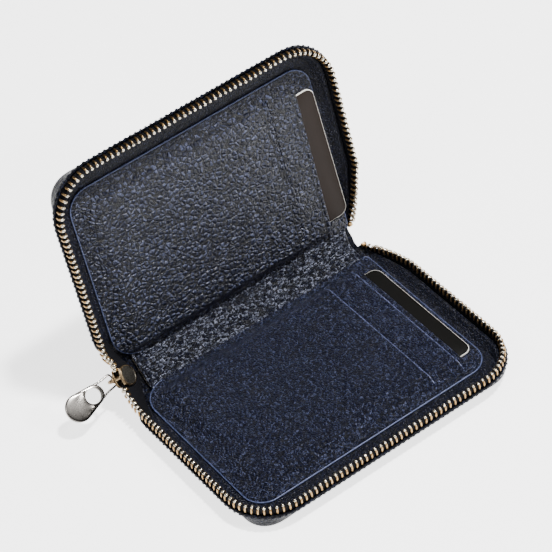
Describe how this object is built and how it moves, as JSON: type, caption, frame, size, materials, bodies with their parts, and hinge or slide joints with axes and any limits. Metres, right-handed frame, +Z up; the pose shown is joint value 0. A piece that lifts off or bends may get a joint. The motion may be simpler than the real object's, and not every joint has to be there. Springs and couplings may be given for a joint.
{
  "type": "zip-around card and passport wallet",
  "caption": "Zip-around leather wallet open like a book, a shallow zip-edged tray on each side of a folding spine, with slit card pockets, a slider with a teardrop pull and loose cards.",
  "frame": {"origin": "centre of the front cover's flat outer face, on the surface it lies on", "axes": "+Y along the spine from the slider end to the top end, +X from the spine towards the front cover's fore edge, +Z up out of the front cover"},
  "size_m": [0.1094, 0.1351, 0.0908],
  "materials": {
    "cover_leather": "pebbled, satin",
    "lining_leather": "pebbled, satin",
    "stiffener": "matt board",
    "zip_fabric": "woven",
    "zip_metal": "antique nickel over brass",
    "slider_metal": "antique",
    "pull_metal": "polished",
    "card_black": "satin",
    "card_brown": "satin"
  },
  "bodies": {
    "front_cover": {"front_outer_leather": "cover_leather", "front_board": "stiffener", "front_facing": "cover_leather", "front_zip_tape": "zip_fabric", "front_zip_teeth": "zip_metal", "front_top_stop": "zip_metal", "front_lining": "lining_leather", "front_upper_pocket": "lining_leather", "front_lower_pocket": "lining_leather"},
    "back_cover": {"back_outer_leather": "cover_leather", "back_board": "stiffener", "back_facing": "cover_leather", "back_zip_tape": "zip_fabric", "back_zip_teeth": "zip_metal", "back_top_stop": "zip_metal", "back_lining": "lining_leather", "back_upper_pocket": "lining_leather", "back_lower_pocket": "lining_leather"},
    "spine": {"spine_leather": "cover_leather", "spine_backing": "stiffener", "spine_lining": "lining_leather", "tail_tape": "zip_fabric", "tail_teeth": "zip_metal", "bottom_stop": "slider_metal"},
    "slider": {"slider_body": "slider_metal", "slider_crown": "slider_metal"},
    "pull": {"pull_tab": "pull_metal"},
    "card_in_front": {"black_card": "card_black"},
    "card_in_back": {"brown_card": "card_brown"}
  },
  "joints": [
    {"name": "spine_fold", "type": "hinge", "parent": "front_cover", "child": "spine", "pos_m": [-0.0382, 0, 0.0032], "axis": [0, 1, 0], "range_deg": [-39, 51]},
    {"name": "cover_fold", "type": "hinge", "parent": "spine", "child": "back_cover", "pos_m": [-0.04753, 0, 0.01075], "axis": [0, 1, 0], "range_deg": [-39, 51]},
    {"name": "slider_travel", "type": "slide", "parent": "spine", "child": "slider", "axis": [0.2811, -0.776, 0.5646], "range_m": [0, 0.002]},
    {"name": "pull_swing", "type": "hinge", "parent": "slider", "child": "pull", "pos_m": [-0.04264, -0.05616, 0.01168], "axis": [-0.7676, -0.1564, 0.6216], "range_deg": [-100, 2]},
    {"name": "black_card_slide", "type": "slide", "parent": "front_cover", "child": "card_in_front", "axis": [0, 1, 0], "range_m": [-0.0015, 0.0035]},
    {"name": "brown_card_slide", "type": "slide", "parent": "back_cover", "child": "card_in_back", "axis": [-0.0054, 0.9997, 0.0256], "range_m": [-0.0012, 0.0012]}
  ],
  "couplings": [
    {"joint": "cover_fold", "follows": "spine_fold", "ratio": 1}
  ]
}
